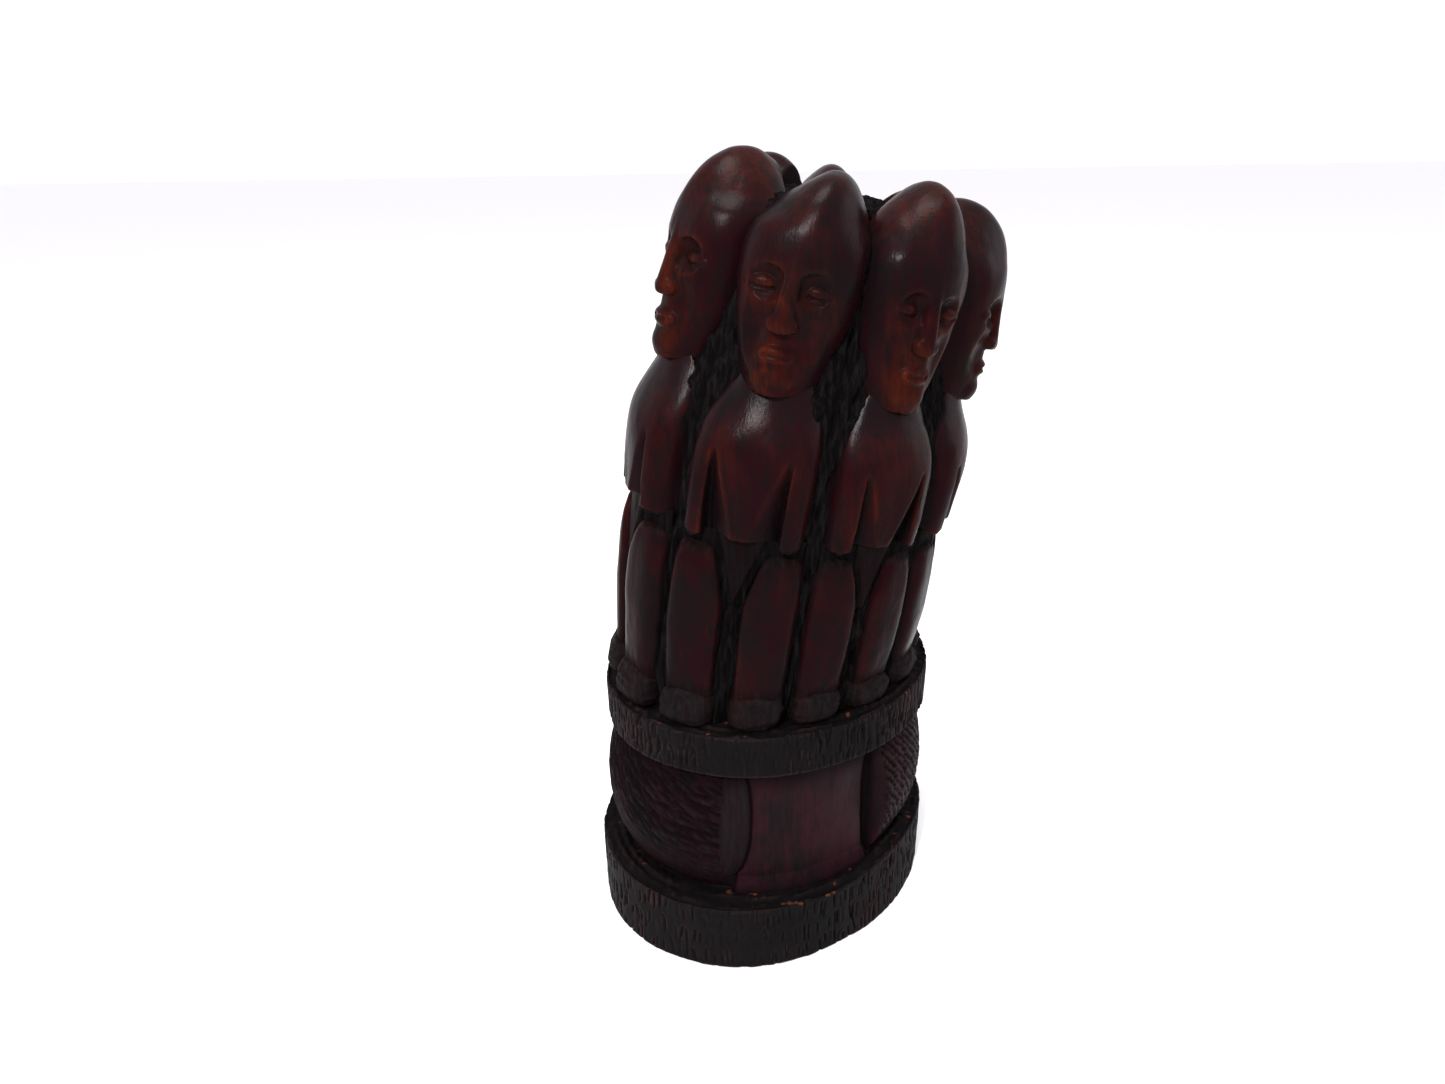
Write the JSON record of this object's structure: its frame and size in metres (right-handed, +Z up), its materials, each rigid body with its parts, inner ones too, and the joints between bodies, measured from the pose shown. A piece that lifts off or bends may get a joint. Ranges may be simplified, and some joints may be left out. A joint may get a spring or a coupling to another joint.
{
  "type": "carved wooden ancestor figure group",
  "caption": "Free-standing hardwood carving of standing ancestor figures in a ring round a central column, on an oval ledge, drum and base disc.",
  "frame": {"origin": "centre of the base disc's underside, where the carving rests", "axes": "+Z up, -Y is the front of the carving, +X is the side that the log leans towards"},
  "size_m": [0.1067, 0.0964, 0.2067],
  "materials": {
    "polished_wood": "dark red-brown stained hardwood, rubbed to a soft gloss on the high parts",
    "rough_wood": "dark stained hardwood left rough and matt from the chisel",
    "rim_wood": "dark stained hardwood with fine upright chisel strokes on its rim",
    "boss_wood": "dark red-brown stained hardwood textured with small overlapping chips"
  },
  "bodies": {
    "root": {"lower_disc": "rim_wood", "upper_ledge": "rim_wood", "drum_core": "rough_wood", "central_column": "rough_wood", "front_panel": "polished_wood", "rear_panel": "polished_wood", "left_boss": "boss_wood", "right_boss": "boss_wood", "feet_1": "rough_wood", "legs_1": "polished_wood", "hips_1": "rough_wood", "torso_1": "polished_wood", "arms_1": "polished_wood", "head_1": "polished_wood", "feet_2": "rough_wood", "legs_2": "polished_wood", "hips_2": "rough_wood", "torso_2": "polished_wood", "arms_2": "polished_wood", "head_2": "polished_wood", "feet_3": "rough_wood", "legs_3": "polished_wood", "hips_3": "rough_wood", "torso_3": "polished_wood", "arms_3": "polished_wood", "head_3": "polished_wood", "feet_4": "rough_wood", "legs_4": "polished_wood", "hips_4": "rough_wood", "torso_4": "polished_wood", "arms_4": "polished_wood", "head_4": "polished_wood", "feet_5": "rough_wood", "legs_5": "polished_wood", "hips_5": "rough_wood", "torso_5": "polished_wood", "arms_5": "polished_wood", "head_5": "polished_wood", "feet_6": "rough_wood", "legs_6": "polished_wood", "hips_6": "rough_wood", "torso_6": "polished_wood", "arms_6": "polished_wood", "head_6": "polished_wood", "feet_7": "rough_wood", "legs_7": "polished_wood", "hips_7": "rough_wood", "torso_7": "polished_wood", "arms_7": "polished_wood", "head_7": "polished_wood"}
  },
  "joints": []
}
